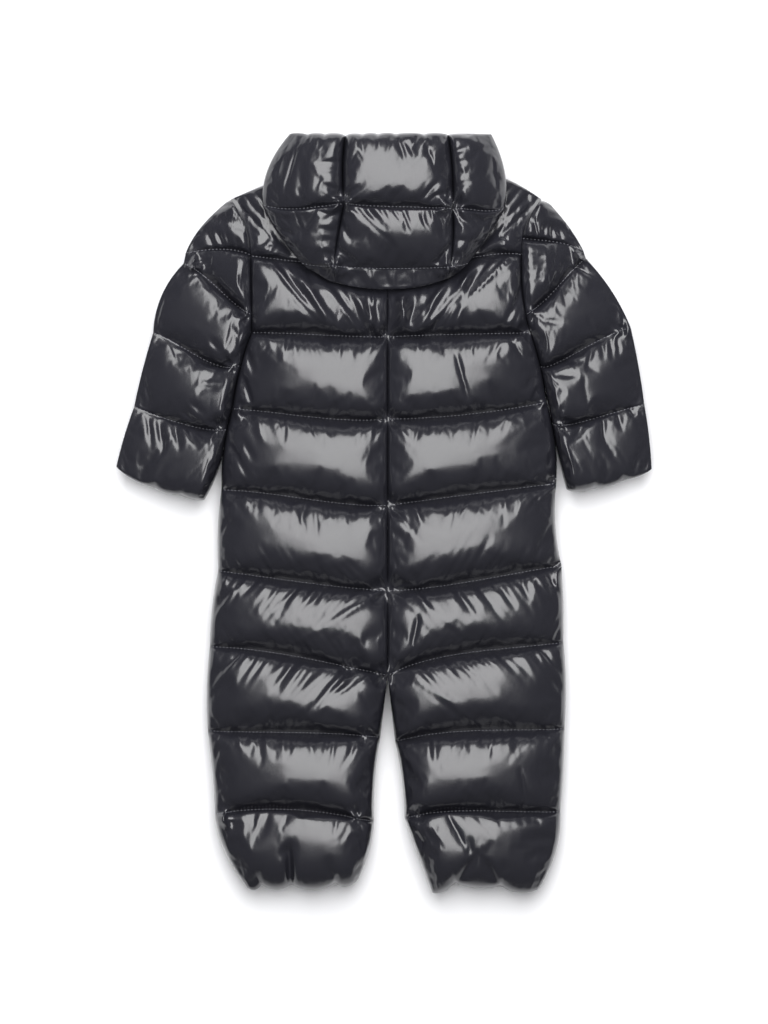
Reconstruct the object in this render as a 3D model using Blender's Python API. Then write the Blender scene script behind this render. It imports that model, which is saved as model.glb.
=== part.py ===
"""A child's hooded padded snowsuit, size 86, laid flat on its front with the hood folded on the back.

+Z is up and +Y runs from the hems to the hood. Tables are in millimetres: x outward from the
centre back seam and y up from the leg hems. The finished suit is then centred over the origin.
"""

import math
from collections import namedtuple

import bmesh
import bpy
from mathutils import Vector

MM = 0.001

# Heights above the surface that the suit lies on.
MIDDLE = 24.0  # where the back layer lies on the front layer
SEAM_GAP = 0.3
SLEEVE_GAP = 0.6  # between a sleeve and the body beside it
PRESSED = 16.0  # thickness of the back layer under the folded hood
PRESSED_MARGIN = 11.0  # how far round the hood it stays pressed
PRESSED_SLOPE = 1.6  # how steeply it rises beyond
HOOD_UNDER = 9.0  # thickness of the hood's hidden layers
# Two soft rolls, one on the other, at the rim side of the hood's hidden layers: how far each
# point lies back from the rim, and its share of the height.
RIM_ROLLS = (
    (14, 0.0), (5, 0.06), (1, 0.24), (4, 0.42), (7, 0.48), (4, 0.54), (1, 0.74), (4, 0.92), (10, 1.0)
)
END_ROLL = 14.0  # how far in from its two ends the hidden layers reach their full height
END_LIFT = 7.0  # how far their ends curve up from the surface below
# Their lower end, from top to bottom: how far up from the end each point lies, and how far below
# the top or above the underside.
LOWER_END = ((9, "top", 0.0), (3, "top", -1.5), (0, "underside", 2.0), (2, "underside", 0.0))
HOOD_INSET = 4.0  # how far the hidden layers stay inside the hood's outline
HOOD_RING_TURN = 12  # degrees between one section of the hidden layers and the next
NECK_ROOM = 2.5  # between the neck seam and the hood layers that rise from it

# Where the folded hood presses on the back: straight sides above an elliptical lower end.
HOOD_CENTRE = (-4.0, 665.0)
HOOD_HALF_WIDTH = 118.0
HOOD_REACH_DOWN = 92.0

# Baffles
FULLNESS = 0.42  # a crown is at most this share of the distance between its two stitch lines
CROWN_POWER = 2.8
CROWN_ROUNDNESS = 0.65
SEAM_LIFT = 0.45  # share of a crown that stays at a sewn side
THINNEST = 1.0
ROLL_SHARE = 0.45  # a side's roll takes at most this share of the panel's width
SWELL_FADE = 3  # how fast a side's swelling dies out across the panel

# Puckers beside the stitch lines, and the gathers of a drawn-in end
PUCKER_REACH = 12.0
PUCKER_DEPTH = 1.8  # below a stitch line
PUCKER_DEPTH_ABOVE = 0.6
PUCKER_TURN = 2.4  # radians between the puckers of one stitch line and the next
PUCKER_OFFSET = 1.0  # radians between the puckers below a line and those above it
GATHER_DEPTH = 1.5
GATHER_FADE = 8

ZIP_WIDTH = 8.0
ZIP_THICKNESS = 5.0
ZIP_TOP, ZIP_BOTTOM = 672.0, 212.0
ZIP_RECESS = 1.0  # from the layer above to the zip
ZIP_BEVEL = 0.8
SLIDER = (7.0, 11.0, 4.0)
SLIDER_DROP = 12.0  # from the zip's top end to the slider's middle
SLIDER_BEVEL = 1.0

Edge = namedtuple("Edge", "height roll lift")
SEAM = Edge(8.0, 13.0, SEAM_LIFT)  # sewn to its neighbour
FREE = Edge(2.0, 26.0, 0.0)  # an outer side, where the back meets the front
FOLD = Edge(4.0, 22.0, 0.0)  # the folded hood's rounded side

# A stitch line or end edge, through four points from the inner to the outer side, and the baffle
# that follows it: how far its two sides swell past a straight run, and its crown's height.
# Gathers counts the scallops of an end edge that is drawn in.
Line = namedtuple(
    "Line", "inner near far outer height inner_edge outer_edge swell_in swell_out crown gathers"
)

LEFT_BODY = (
    Line((0, 678), (50, 688), (99, 679), (149, 659), 5, SEAM, SEAM, 0, -5, 15, 0),
    Line((0, 599), (44, 597), (88, 600), (130, 605), 9, SEAM, SEAM, 0, 0, 21, 0),
    Line((0, 528), (43, 529), (86, 531), (129, 532), 9, SEAM, SEAM, 0, 2, 22, 0),
    Line((0, 450), (49, 450), (98, 455), (148, 460), 9, SEAM, FREE, 0, 3, 23, 0),
    Line((0, 368), (52, 371), (103, 378), (158, 383), 9, SEAM, FREE, 0, 2, 23, 0),
    Line((0, 287), (54, 292), (108, 299), (161, 306), 9, SEAM, FREE, 0, 2, 23, 0),
    Line((0, 207), (57, 219), (112, 229), (169, 234), 9, SEAM, FREE, 0, 2, 23, 0),
    Line((7, 148), (61, 152), (116, 153), (171, 154), 9, FREE, FREE, -2, -1, 23, 0),
    Line((13, 68), (62, 77), (113, 80), (164, 75), 9, FREE, FREE, 3, 6, 22, 0),
    Line((27, 15), (63, 3), (99, 5), (135, 4), 5, FREE, FREE, 0, 0, 0, 5),
)

RIGHT_BODY = (
    Line((0, 678), (50, 688), (97, 684), (146, 659), 5, SEAM, SEAM, 0, -6, 15, 0),
    Line((0, 599), (43, 598), (90, 605), (127, 606), 9, SEAM, SEAM, 0, -3, 21, 0),
    Line((0, 528), (47, 530), (91, 531), (135, 532), 9, SEAM, SEAM, 0, 2, 22, 0),
    Line((0, 450), (47, 452), (96, 457), (151, 466), 9, SEAM, FREE, 0, 4, 23, 0),
    Line((0, 368), (50, 375), (104, 382), (160, 389), 9, SEAM, FREE, 0, -3, 23, 0),
    Line((0, 287), (53, 292), (107, 301), (165, 311), 9, SEAM, FREE, 0, 1, 23, 0),
    Line((0, 207), (50, 224), (107, 232), (167, 238), 9, SEAM, FREE, 0, 2, 23, 0),
    Line((7, 144), (59, 153), (112, 155), (168, 156), 9, FREE, FREE, -2, 1, 23, 0),
    Line((16, 71), (59, 78), (110, 78), (164, 77), 9, FREE, FREE, 0, 6, 22, 0),
    Line((42, 1), (72, 8), (107, 6), (145, 3), 5, FREE, FREE, 0, 0, 0, 5),
)

LEFT_SLEEVE = (
    Line((148, 658), (150, 658), (152, 657), (154, 656), 5, SEAM, FREE, 0, 5, 16, 0),
    Line((130, 606), (150, 611), (171, 611), (192, 608), 9, SEAM, FREE, 0, 0, 20, 0),
    Line((129, 549), (150, 564), (172, 584), (194, 598), 9, SEAM, FREE, 0, 7, 23, 0),
    Line((140, 501), (164, 502), (193, 517), (223, 532), 9, FREE, FREE, 2, 1, 23, 0),
    Line((153, 440), (175, 441), (206, 449), (241, 462), 9, FREE, FREE, 4, 1, 21, 0),
    Line((174, 374), (196, 376), (227, 386), (258, 404), 5, FREE, FREE, 0, 0, 0, 3),
)

RIGHT_SLEEVE = (
    Line((147, 658), (150, 657), (152, 656), (155, 654), 5, SEAM, FREE, 0, 3, 16, 0),
    Line((127, 622), (146, 620), (166, 617), (186, 610), 9, SEAM, FREE, 0, 0, 20, 0),
    Line((133, 549), (152, 565), (170, 585), (188, 603), 9, SEAM, FREE, 0, 4, 23, 0),
    Line((145, 500), (166, 506), (197, 523), (231, 537), 9, FREE, FREE, 0, 1, 23, 0),
    Line((157, 445), (178, 446), (211, 455), (244, 464), 9, FREE, FREE, 1, 1, 21, 0),
    Line((170, 384), (192, 384), (222, 392), (251, 403), 5, FREE, FREE, 0, 0, 0, 3),
)

# The centre panel runs from the left seam to the right one, and x is signed.
HOOD_CENTRE_PANEL = (
    Line((-40, 718), (-8, 719), (25, 719), (57, 718), 8, SEAM, SEAM, 2, 2, 31, 4),
    Line((-41, 655), (-7, 653), (27, 652), (61, 650), 9, SEAM, SEAM, 1, 2, 27, 0),
    Line((-51, 594), (-14, 592), (23, 592), (59, 593), 15, SEAM, SEAM, 0, 0, 5, 0),
    Line((-49, 579), (-14, 573), (23, 574), (57, 583), 4, SEAM, SEAM, 0, 0, 0, 0),
)

# A side panel's inner edge is the centre panel's seam.
HOOD_LEFT_PANEL = (
    Line((40, 718), (58, 720), (76, 721), (93, 720), 8, SEAM, FOLD, -2, 8, 28, 3),
    Line((41, 655), (71, 651), (95, 649), (118, 654), 9, SEAM, FOLD, -1, 4, 22, 0),
    Line((51, 594), (61, 594), (71, 595), (81, 597), 12, SEAM, FOLD, 0, 0, 4, 0),
    Line((49, 579), (58, 582), (66, 587), (74, 591), 4, SEAM, FOLD, 0, 0, 0, 0),
)

HOOD_RIGHT_PANEL = (
    Line((57, 718), (70, 720), (84, 721), (98, 720), 8, SEAM, FOLD, -2, 6, 28, 3),
    Line((61, 650), (78, 650), (94, 648), (111, 651), 9, SEAM, FOLD, -2, 2, 22, 0),
    Line((59, 593), (65, 594), (70, 595), (76, 597), 12, SEAM, FOLD, 0, 0, 4, 0),
    Line((57, 583), (61, 585), (66, 588), (70, 591), 4, SEAM, FOLD, 0, 0, 0, 0),
)

# Creases pressed into the back: where each starts and ends, its half width and its depth.
Crease = namedtuple("Crease", "start end width depth")
LEFT_CREASES = (
    Crease((141, 654), (98, 607), 4, 3.0),
    Crease((128, 660), (88, 613), 4, 3.0),
    Crease((114, 665), (80, 620), 4, 2.5),
    Crease((126, 594), (30, 548), 5, 2.5),
    Crease((120, 575), (22, 536), 5, 2.0),
    Crease((90, 4), (95, 40), 6, 8.0),
    Crease((42, 10), (48, 34), 5, 3.0),
)
RIGHT_CREASES = (
    Crease((139, 654), (96, 609), 4, 3.0),
    Crease((127, 661), (86, 615), 4, 3.0),
    Crease((112, 666), (78, 622), 4, 2.5),
    Crease((124, 596), (34, 550), 5, 2.5),
    Crease((118, 577), (24, 538), 5, 2.0),
    Crease((84, 6), (80, 40), 6, 6.0),
    Crease((120, 6), (122, 30), 5, 3.0),
)

# Points across and along: (columns in a panel, steps from one stitch line to the next).
BODY_GRID = (20, 7)
BODY_UNDER_GRID = (12, 6)
SLEEVE_GRID = (13, 6)
SLEEVE_UNDER_GRID = (9, 5)
HOOD_GRID = (13, 7)
HOOD_SIDE_GRID = (10, 7)
BODY_PUCKERS = 4
SLEEVE_PUCKERS = 3
HOOD_PUCKERS = 3


def new_scene(name):
    """Empties the scene and returns a new collection."""
    for item in list(bpy.data.objects):
        bpy.data.objects.remove(item, do_unlink=True)
    group = bpy.data.collections.new(name)
    bpy.context.scene.collection.children.link(group)
    return group


def finish(name, colour, roughness, metallic=0.0):
    material = bpy.data.materials.new(name)
    material.use_nodes = True
    shader = material.node_tree.nodes["Principled BSDF"]
    shader.inputs["Base Color"].default_value = (*colour, 1.0)
    shader.inputs["Roughness"].default_value = roughness
    shader.inputs["Metallic"].default_value = metallic
    return material


def mix(a, b, share):
    return a + (b - a) * share


def spread(count):
    """Shares from 0 to 1, closer together near both ends."""
    even = [i / (count - 1) for i in range(count)]
    return [mix(s, 0.5 - 0.5 * math.cos(math.pi * s), 0.6) for s in even]


def along(line, share):
    """The point of a stitch line's smooth curve through its four named points."""
    third, most = 1 / 3, 2 / 3
    weights = (
        -4.5 * (share - third) * (share - most) * (share - 1),
        13.5 * share * (share - most) * (share - 1),
        -13.5 * share * (share - third) * (share - 1),
        4.5 * share * (share - third) * (share - most),
    )
    points = (line.inner, line.near, line.far, line.outer)
    return Vector([sum(w * p[axis] for w, p in zip(weights, points)) for axis in (0, 1)])


def rounded(distance, radius):
    """How far a rolled edge has risen, from 0 at the edge to 1 at its radius."""
    left = 1 - min(max(distance / radius, 0.0), 1.0)
    return math.sqrt(1 - left * left)


def crown_shape(share):
    return (1 - abs(2 * share - 1) ** CROWN_POWER) ** CROWN_ROUNDNESS


def pucker(distance):
    """Puckers are flat at the stitch line, strongest a little away from it, and die out."""
    return distance / PUCKER_REACH * math.exp(1 - distance / PUCKER_REACH)


def hood_limit(x, y):
    """How thick the back layer may be here: pressed flat under the folded hood."""
    below = max(0.0, HOOD_CENTRE[1] - y) / HOOD_REACH_DOWN
    radius = math.hypot((x - HOOD_CENTRE[0]) / HOOD_HALF_WIDTH, below)
    outside = (radius - 1) * HOOD_REACH_DOWN
    return PRESSED + PRESSED_SLOPE * max(0.0, outside - PRESSED_MARGIN)


def crease_depth(creases, point):
    depth = 0.0
    for crease in creases:
        start, end = Vector(crease.start), Vector(crease.end)
        run = end - start
        share = min(max((point - start).dot(run) / run.length_squared, 0.0), 1.0)
        away = (point - start - run * share).length
        fade = math.sin(math.pi * mix(0.1, 0.9, share))
        depth += crease.depth * fade * math.exp(-((away / crease.width) ** 2))
    return depth


class Panel:
    """One cut piece: a net of points between its stitch lines, with the padding's height at each."""

    def __init__(self, lines, grid, side=1, puckers=0, creases=(), outside_of=None):
        self.lines, self.side, self.puckers, self.creases = lines, side, puckers, creases
        self.columns = spread(grid[0])
        self.steps = spread(grid[1] + 1)
        self.rows = []
        last = len(lines) - 2
        for index in range(len(lines) - 1):
            for step in self.steps if index == last else self.steps[:-1]:
                self.rows.append(self.row(index, step, outside_of))

    def row(self, index, step, outside_of):
        """Points across one row, each as (x, y, height)."""
        upper, lower = self.lines[index], self.lines[index + 1]
        inner = mix(Vector(upper.inner), Vector(lower.inner), step)
        outer = mix(Vector(upper.outer), Vector(lower.outer), step)
        width = (outer - inner).length
        across = (outer - inner).normalized()
        swell = 4 * step * (1 - step)
        shift = 0.0
        if outside_of:
            inner -= across * swell * upper.swell_in
            shift = outside_of.side_at(inner.y) + SLEEVE_GAP - inner.x
            if upper.inner_edge is FREE:
                shift = max(shift, 0.0)
        row = []
        for share in self.columns:
            above, below = along(upper, share), along(lower, share)
            length = (above - below).length
            point = mix(above, below, step)
            inward, outward = (1 - share) ** SWELL_FADE, share**SWELL_FADE
            point += across * swell * (upper.swell_out * outward - upper.swell_in * inward)
            for line, near in ((upper, 1 - step), (lower, step)):
                gather = math.cos(line.gathers * math.tau * share) if line.gathers else 0.0
                point.y += GATHER_DEPTH * near**GATHER_FADE * gather
            point.x += shift * (1 - share) ** 2
            rise = self.rise(upper, lower, share, step, width)
            height = self.height(upper, lower, share, step, length, rise)
            turn_above, turn_below = self.turns(index, share)
            height += PUCKER_DEPTH * math.cos(turn_above) * pucker(step * length) * rise
            height += PUCKER_DEPTH_ABOVE * math.cos(turn_below) * pucker((1 - step) * length) * rise
            height -= crease_depth(self.creases, point)
            row.append((point.x, point.y, max(height, THINNEST)))
        return row

    def turns(self, index, share):
        """The phase of the puckers at the stitch lines above and below this baffle."""
        run = self.puckers * math.tau * share
        return run + PUCKER_TURN * index, run + PUCKER_TURN * (index + 1) + PUCKER_OFFSET

    def rise(self, upper, lower, share, step, width):
        """How far the padding has risen from the panel's two sides, from 0 to 1."""
        inner = mix(upper.inner_edge.roll, lower.inner_edge.roll, step)
        outer = mix(upper.outer_edge.roll, lower.outer_edge.roll, step)
        inner, outer = (min(roll, ROLL_SHARE * width) for roll in (inner, outer))
        return rounded(share * width, inner) * rounded((1 - share) * width, outer)

    def height(self, upper, lower, share, step, length, rise):
        """Thickness of the padded wall between its plain inside and its quilted outside."""
        side = "inner_edge" if share < 0.5 else "outer_edge"
        above, below = getattr(upper, side), getattr(lower, side)
        edge, lift = mix(above.height, below.height, step), mix(above.lift, below.lift, step)
        crown = min(upper.crown, FULLNESS * length) * crown_shape(step)
        return mix(edge, mix(upper.height, lower.height, step), rise) + crown * mix(lift, 1.0, rise)

    def side_at(self, y):
        """x of the panel's outer side at this height up the suit."""
        side = [row[-1] for row in self.rows]
        for (x0, y0, _), (x1, y1, _) in zip(side, side[1:]):
            if y1 <= y <= y0:
                return mix(x0, x1, (y0 - y) / (y0 - y1))
        return -math.inf

    def trim_inner(self, distance):
        """Moves the inner edge out to this distance, to leave room for a seam or a zip."""
        for row in self.rows:
            x, y, height = row[0]
            row[0] = (max(x, distance), y, height)

    def narrow_inner(self, distance):
        """Moves the inner edge outward by this much."""
        for row in self.rows:
            x, y, height = row[0]
            row[0] = (x + distance, y, height)

    def solid(self, name, group, material, inside, outward=1, limit=None, floor=None):
        """A closed wall: the quilted outside, plain sides and a plain flat inside at one height."""
        across, down = len(self.columns), len(self.rows)
        bm = bmesh.new()
        bmesh.ops.create_grid(bm, x_segments=across - 1, y_segments=down - 1, size=1)
        bm.verts.ensure_lookup_table()
        for vert, (x, y, height) in zip(bm.verts, (point for row in self.rows for point in row)):
            if limit:
                height = min(height, limit(self.side * x, y))
            z = inside + outward * height
            if floor is not None:
                z = max(z, floor)
            vert.co = (self.side * x * MM, y * MM, z * MM)
        rim = [edge for edge in bm.edges if edge.is_boundary]
        skirt = bmesh.ops.extrude_edge_only(bm, edges=rim)["geom"]
        for vert in (item for item in skirt if isinstance(item, bmesh.types.BMVert)):
            vert.co.z = inside * MM
        bmesh.ops.contextual_create(bm, geom=[edge for edge in bm.edges if edge.is_boundary])
        bmesh.ops.recalc_face_normals(bm, faces=bm.faces)
        return add_object(name, group, bm, material)


def add_object(name, group, bm, material):
    mesh = bpy.data.meshes.new(name)
    bm.to_mesh(mesh)
    bm.free()
    mesh.materials.append(material)
    mesh.shade_smooth()
    mesh.set_sharp_from_angle(angle=math.radians(50))
    item = bpy.data.objects.new(name, mesh)
    group.objects.link(item)
    return item


def body(group, cloth):
    """Two quilted backs over two quilted fronts, all from the shoulder to the hem."""
    bodies = {}
    for word, side, lines, creases in (
        ("left", -1, LEFT_BODY, LEFT_CREASES),
        ("right", 1, RIGHT_BODY, RIGHT_CREASES),
    ):
        back = Panel(lines, BODY_GRID, side, BODY_PUCKERS, creases)
        back.trim_inner(SEAM_GAP / 2)
        back.solid(f"back_{word}", group, cloth, MIDDLE + SEAM_GAP / 2, limit=hood_limit)
        front = Panel(lines, BODY_UNDER_GRID, side)
        front.trim_inner(ZIP_WIDTH / 2 + SEAM_GAP)
        front.solid(f"front_{word}", group, cloth, MIDDLE - SEAM_GAP / 2, outward=-1, floor=0.0)
        bodies[word] = back, front
    return bodies


def sleeves(group, cloth, bodies):
    """Each sleeve is two halves, sewn into the armhole and lying close beside the body."""
    for word, side, lines in (("left", -1, LEFT_SLEEVE), ("right", 1, RIGHT_SLEEVE)):
        back, front = bodies[word]
        upper = Panel(lines, SLEEVE_GRID, side, SLEEVE_PUCKERS, outside_of=back)
        upper.solid(f"sleeve_{word}_back", group, cloth, MIDDLE + SEAM_GAP / 2)
        under = Panel(lines, SLEEVE_UNDER_GRID, side, outside_of=front)
        under.solid(f"sleeve_{word}_front", group, cloth, MIDDLE - SEAM_GAP / 2, outward=-1, floor=0.0)


def hood(group, cloth):
    """Three outer panels, lying on the hood's own hidden layers. Returns their outline."""
    inside = MIDDLE + SEAM_GAP / 2 + PRESSED + HOOD_UNDER + 2 * SEAM_GAP
    centre = Panel(HOOD_CENTRE_PANEL, HOOD_GRID, 1, HOOD_PUCKERS)
    centre.solid("hood_centre", group, cloth, inside)
    outline = [centre.rows[0], centre.rows[-1]]
    for word, side, lines in (("left", -1, HOOD_LEFT_PANEL), ("right", 1, HOOD_RIGHT_PANEL)):
        panel = Panel(lines, HOOD_SIDE_GRID, side, HOOD_PUCKERS)
        panel.narrow_inner(SEAM_GAP)
        panel.solid(f"hood_{word}", group, cloth, inside)
        edge = [panel.rows[0], [row[-1] for row in panel.rows], panel.rows[-1]]
        outline += [[(side * x, y, h) for x, y, h in part] for part in edge]
    return outline


def neck_line(x):
    """y of the neck and shoulder edge at this distance from the centre back seam."""
    line = LEFT_BODY[0] if x < 0 else RIGHT_BODY[0]
    share = abs(x) / line.outer[0]
    return along(line, share).y


def crossings(outline, x):
    """The heights up the suit at which the outline passes this x."""
    found = []
    for part in outline:
        for (x0, y0, _), (x1, y1, _) in zip(part, part[1:]):
            if min(x0, x1) <= x <= max(x0, x1) and x0 != x1:
                found.append(mix(y0, y1, (x - x0) / (x1 - x0)))
    return found


def hood_layers(group, cloth, outline):
    """The hood's hidden layers: they rise from the neck seam and turn over onto the back."""
    low = MIDDLE + SEAM_GAP / 2 + PRESSED + SEAM_GAP
    top = low + HOOD_UNDER
    # The sections run a little further in than the outline, whose ends are rounded.
    left = min(x for part in outline for x, _, _ in part) + 2 * HOOD_INSET
    right = max(x for part in outline for x, _, _ in part) - 2 * HOOD_INSET
    bm = bmesh.new()
    rings = []
    for turn in range(-90, 91, HOOD_RING_TURN):
        x = (left + right) / 2 + (right - left) / 2 * math.sin(math.radians(turn))
        edges = crossings(outline, x)
        rim, bottom = max(edges) - HOOD_INSET, min(edges) + HOOD_INSET
        seam = neck_line(x) + NECK_ROOM
        full = rounded(min(x - left, right - x), END_ROLL)
        foot = mix(END_LIFT, 0.0, full)
        crest = mix(low + HOOD_UNDER / 2, top, full)
        outside = [(rim - back, mix(foot, crest, height)) for back, height in RIM_ROLLS]
        level = {"top": crest, "underside": low}
        lower_end = [(bottom + up, level[name] + offset) for up, name, offset in LOWER_END]
        profile = [(seam, foot), *outside, *lower_end, (seam, low)]
        rings.append([bm.verts.new((x * MM, y * MM, z * MM)) for y, z in profile])
    for ring, following in zip(rings, rings[1:]):
        for index in range(len(ring)):
            after = (index + 1) % len(ring)
            bm.faces.new((ring[index], ring[after], following[after], following[index]))
    for ring in (rings[0], rings[-1]):
        bm.faces.new(ring)
    bmesh.ops.recalc_face_normals(bm, faces=bm.faces)
    return add_object("hood_under", group, bm, cloth)


def block(name, group, material, size, centre, bevel):
    """A box with small bevels, measured in millimetres."""
    bm = bmesh.new()
    bmesh.ops.create_cube(bm, size=1)
    for vert in bm.verts:
        vert.co = Vector([(c + v * s) * MM for c, v, s in zip(centre, vert.co, size)])
    bmesh.ops.bevel(bm, geom=bm.edges, offset=bevel * MM, segments=1, affect="EDGES")
    return add_object(name, group, bm, material)


def front_zip(group, tape, metal):
    """The closed front zip, from the neck to the crotch, with its slider at the top."""
    size = (ZIP_WIDTH, ZIP_TOP - ZIP_BOTTOM, ZIP_THICKNESS)
    top = MIDDLE - ZIP_RECESS
    middle = (ZIP_TOP + ZIP_BOTTOM) / 2
    block("front_zip", group, tape, size, (0, middle, top - ZIP_THICKNESS / 2), ZIP_BEVEL)
    slider_top = top - ZIP_THICKNESS - SEAM_GAP
    place = (0, ZIP_TOP - SLIDER_DROP, slider_top - SLIDER[2] / 2)
    block("zip_slider", group, metal, SLIDER, place, SLIDER_BEVEL)


def centre_suit(group):
    """Puts the middle of the suit's footprint over the origin."""
    points = [vert.co for item in group.objects for vert in item.data.vertices]
    spans = [[point[axis] for point in points] for axis in (0, 1)]
    middle = Vector([(min(span) + max(span)) / 2 for span in spans] + [0])
    for item in group.objects:
        for vert in item.data.vertices:
            vert.co -= middle


def build():
    group = new_scene("padded_snowsuit")
    cloth = finish("glossy_nylon", (0.032, 0.031, 0.038), 0.25)
    tape = finish("zip_tape", (0.02, 0.02, 0.022), 0.7)
    metal = finish("zip_metal", (0.05, 0.05, 0.055), 0.35, 1.0)
    bodies = body(group, cloth)
    sleeves(group, cloth, bodies)
    hood_layers(group, cloth, hood(group, cloth))
    front_zip(group, tape, metal)
    centre_suit(group)


build()
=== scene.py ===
# A child's padded snowsuit laid flat on its front, with the hood folded on its back.
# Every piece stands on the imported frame. Sizes are in millimetres unless a name says otherwise.

import math
from collections import namedtuple

import bmesh
import bpy
import numpy as np
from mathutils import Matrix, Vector
from mathutils.bvhtree import BVHTree


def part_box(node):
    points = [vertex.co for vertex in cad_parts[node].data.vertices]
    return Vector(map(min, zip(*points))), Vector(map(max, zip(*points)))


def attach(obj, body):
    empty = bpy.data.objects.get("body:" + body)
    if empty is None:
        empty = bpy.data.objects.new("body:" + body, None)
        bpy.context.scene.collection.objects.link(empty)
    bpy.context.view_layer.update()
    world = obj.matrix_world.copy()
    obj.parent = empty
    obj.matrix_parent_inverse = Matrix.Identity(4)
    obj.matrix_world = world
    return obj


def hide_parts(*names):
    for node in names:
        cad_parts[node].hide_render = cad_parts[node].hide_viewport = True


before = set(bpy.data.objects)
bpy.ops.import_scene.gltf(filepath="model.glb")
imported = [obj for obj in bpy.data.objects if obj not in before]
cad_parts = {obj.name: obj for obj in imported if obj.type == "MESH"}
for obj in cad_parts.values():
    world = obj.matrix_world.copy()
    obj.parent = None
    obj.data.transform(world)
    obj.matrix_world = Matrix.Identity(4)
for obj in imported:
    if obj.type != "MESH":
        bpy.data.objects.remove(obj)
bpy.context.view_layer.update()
mm = 0.001

# How the suit lies.

suit = {
    "middle": 24.0,  # height at which the back layer lies on the front layer
    "seamGap": 0.3,
    "sleeveGap": 0.1,  # between a sleeve and the body beside it
    "zipHalf": 4.3,  # from the centre to a front's edge beside the zip
    "zipBottom": 212.0,
    "pressed": 16.0,  # thickness of the back under the folded hood
    "pressedBlend": (-4.0, 14.0),  # from the hood's outline, where the back begins to rise and is full
    "hoodCentre": (-4.0, 665.0),
    "hoodHalfWidth": 118.0,
    "hoodReachDown": 92.0,
    "hoodUnder": 9.0,  # thickness of the hood's hidden layers
}

zipLow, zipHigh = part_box("front_zip")
seamX = (zipLow[0] + zipHigh[0]) / 2  # metres, where the centre back seam runs
hemY = zipLow[1] - suit["zipBottom"] * mm  # metres, the leg hems

# A panel's side: the wall's height there, the width over which the padding rises from it, the share
# of a crown that stays up at it, and how flat its top stays (2 is a circle).
side = namedtuple("side", "height roll lift power")
seam = side(8.0, 20.0, 0.6, 2.2)  # sewn to its neighbour
armhole = side(7.0, 15.0, 0.45, 2.2)
shoulder = side(5.0, 70.0, 0.0, 1.0)  # above the armhole, where the back falls towards the sleeve
free = side(2.0, 150.0, 0.0, 2.7)  # an outer side, where the back meets the front
innerLeg = side(2.0, 34.0, 0.0, 2.6)
sleeveInner = side(2.0, 16.0, 0.0, 1.8)  # a sleeve's side that lies beside the body
sleeveFree = side(2.0, 90.0, 0.0, 1.1)
sleeveHead = side(7.0, 12.0, 0.45, 1.8)  # a sleeve's side that is sewn into the armhole
hoodSeam = side(8.0, 13.0, 0.6, 2.4)
hoodSeamWide = side(8.0, 32.0, 0.55, 2.0)
fold = side(4.0, 70.0, 0.0, 1.5)

# Puckers along a stitch line: the distance between two, how far from the line they are deepest,
# their depth, and how far outward they lean for each step down.
pucker = namedtuple("pucker", "spacing reach depth lean")
smooth = pucker(13, 5, 0.5, 0.0)
ticks = pucker(7, 6, 1.2, -0.15)
slanted = pucker(7, 6, 1.3, 0.6)
streaks = pucker(6.5, 30, 3.0, -0.6)
fanned = pucker(6.5, 11, 1.8, 0.65)

# A stitch line or end edge through four points, from the inner to the outer side, its height, and
# the baffle that follows it: its two sides, how far they swell, its crown and where that is highest.
# Gathers names the lobes of an end that is drawn in: their depth and the valleys between them.
gathers = namedtuple("gathers", "depth valleys")
even = gathers(0, ())
line = namedtuple(
    "line", "inner near far outer height innerSide outerSide swellIn swellOut crown peak gathers puckers",
    defaults=(0.5, even, smooth),
)
crease = namedtuple("crease", "start end width depth")
knot = namedtuple("knot", "x y reach")  # a star of short creases where two lines of stitches meet

backLeft = {
    "name": "backLeftShell", "node": "back_left", "mirror": -1, "trim": 0.04,
    "lines": (
        line((0, 678), (50, 688), (99, 679), (149, 659), 5, seam, shoulder, 0, -5, 21),
        line((0, 599), (44, 597), (88, 600), (130, 605), 9, seam, armhole, 0, 0, 21, puckers=streaks),
        line((0, 528), (43, 529), (86, 531), (129, 532), 9, seam, armhole, 0, 2, 22, puckers=ticks),
        line((0, 450), (49, 450), (98, 455), (148, 460), 9, seam, free, 0, 3, 22, puckers=ticks),
        line((0, 368), (52, 371), (103, 378), (158, 383), 9, seam, free, 0, 2, 23, puckers=ticks),
        line((0, 287), (54, 292), (108, 299), (161, 306), 9, seam, free, 0, 2, 22, puckers=fanned),
        line((0, 207), (57, 219), (112, 229), (169, 234), 9, seam, free, 0, 2, 22,
             0.45, puckers=fanned),
        line((7, 148), (61, 152), (116, 153), (171, 154), 9, innerLeg, free, -2, -1, 23, puckers=ticks),
        line((13, 68), (62, 77), (113, 80), (164, 75), 9, innerLeg, free, 3, 6, 22, 0.42),
        line((27, 15), (63, 9), (99, 9), (135, 8), 5, innerLeg, free, 0, 0, 0,
             gathers=gathers(6, (0.21, 0.6, 0.86))),
    ),
    "creases": (
        crease((146, 660), (102, 611), 2.8, 2.6), crease((137, 664), (94, 611), 3.0, 3.0),
        crease((128, 668), (87, 614), 2.8, 2.6), crease((118, 671), (80, 618), 3.2, 2.8),
        crease((134, 516), (126, 492), 3.2, 3.0), crease((137, 490), (128, 462), 2.6, 2.2),
        crease((137, 430), (126, 411), 3.0, 2.4), crease((146, 422), (132, 396), 3.0, 2.4),
        crease((92, 2), (93, 46), 3.6, 8.0), crease((93, 44), (101, 38), 3.0, 3.0),
        crease((50, 8), (56, 26), 3.5, 3.0), crease((127, 8), (120, 24), 3.5, 3.0),
    ),
    "knots": (
        knot(2, 528, 9), knot(2, 450, 10), knot(2, 368, 13), knot(2, 287, 20), knot(2, 207, 16),
        knot(36, 214, 11), knot(156, 71, -10), knot(28, 74, 10), knot(20, 150, 8), knot(140, 455, -7),
    ),
}

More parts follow.
